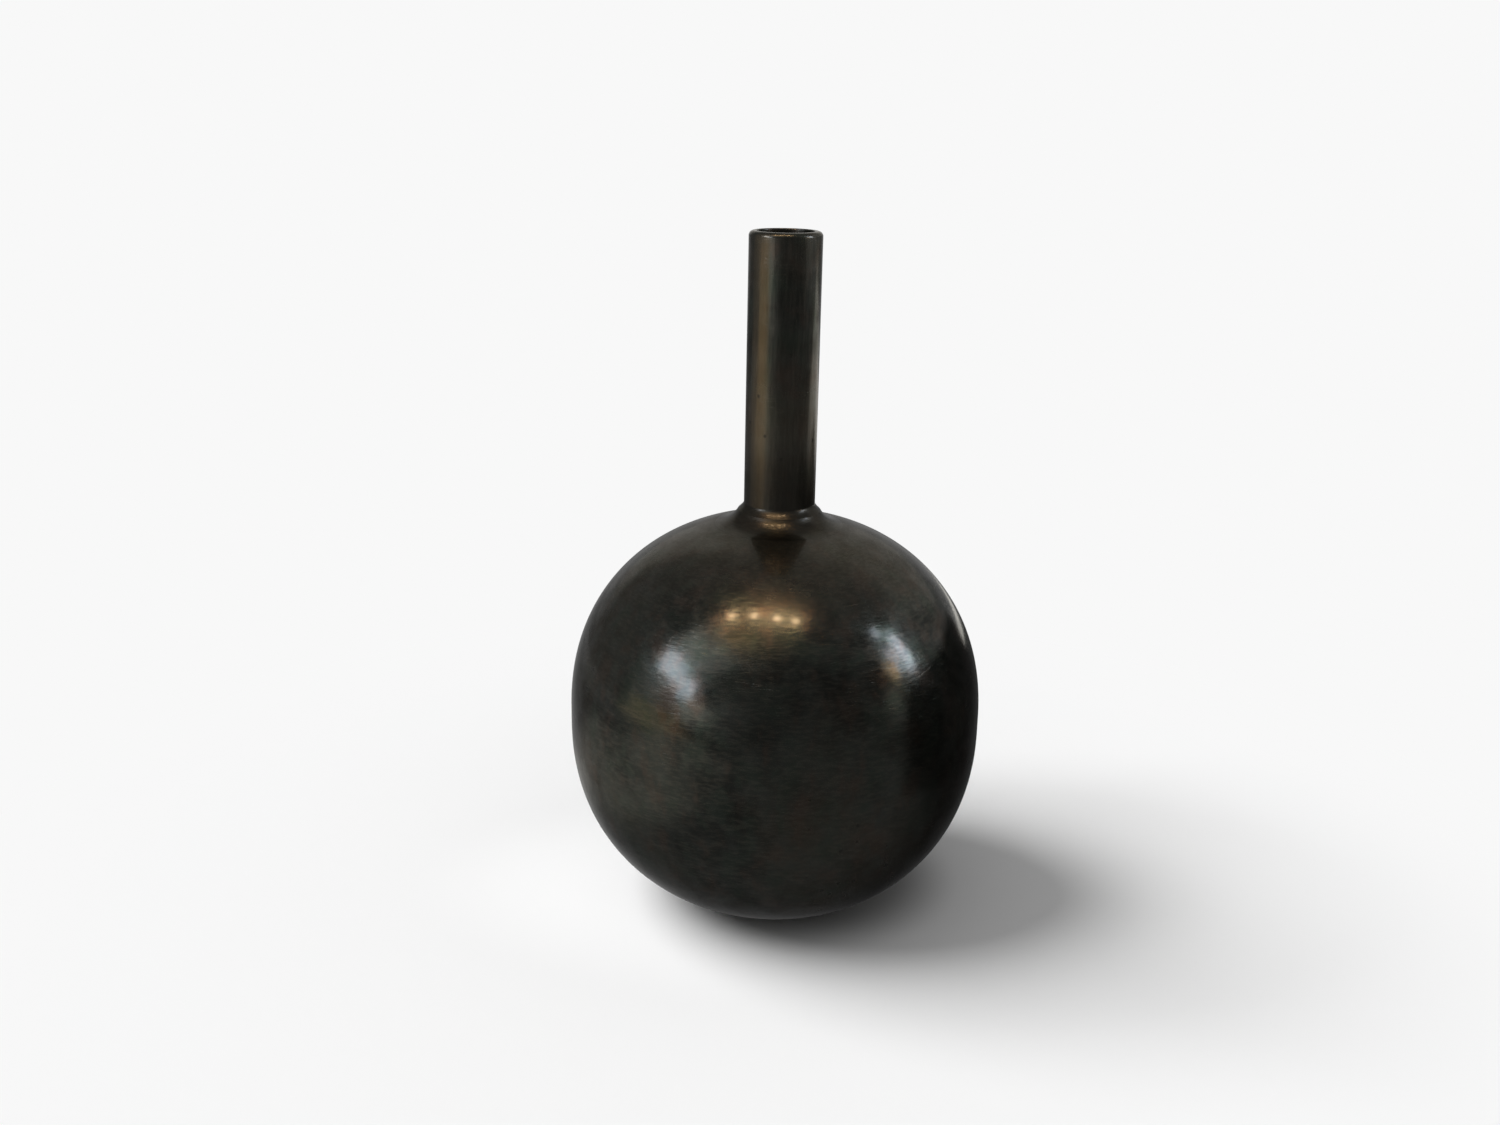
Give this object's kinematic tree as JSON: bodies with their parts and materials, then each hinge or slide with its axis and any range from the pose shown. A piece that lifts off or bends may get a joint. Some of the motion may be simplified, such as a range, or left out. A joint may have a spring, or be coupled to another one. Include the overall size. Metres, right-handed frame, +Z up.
{
  "type": "ball vase",
  "caption": "Dark patinated metal vase: a spun ball body with a tall narrow tube neck, a coved collar at its root and a round turned lip, standing on a flat foot.",
  "frame": {"origin": "centre of the foot pad's underside, where the vase stands", "axes": "+Z up along the axis of the ball and the neck; the vase is the same all round, so +X and +Y are free"},
  "size_m": [0.21, 0.21, 0.3445],
  "materials": {
    "dark_patina": "dark brown-black patina over spun brass, waxed, mottled and lightly pitted",
    "solder_patina": "brazing solder, dressed and patinated with the body",
    "plate_steel": "plain cold-rolled steel",
    "pad_rubber": "matt black rubber"
  },
  "bodies": {
    "root": {"upper_shell": "dark_patina", "lower_shell": "dark_patina", "neck_tube": "dark_patina", "neck_collar": "dark_patina", "mouth_ring": "dark_patina", "neck_solder": "solder_patina", "equator_solder": "solder_patina", "base_plate": "plate_steel", "foot_pad": "pad_rubber"}
  },
  "joints": []
}
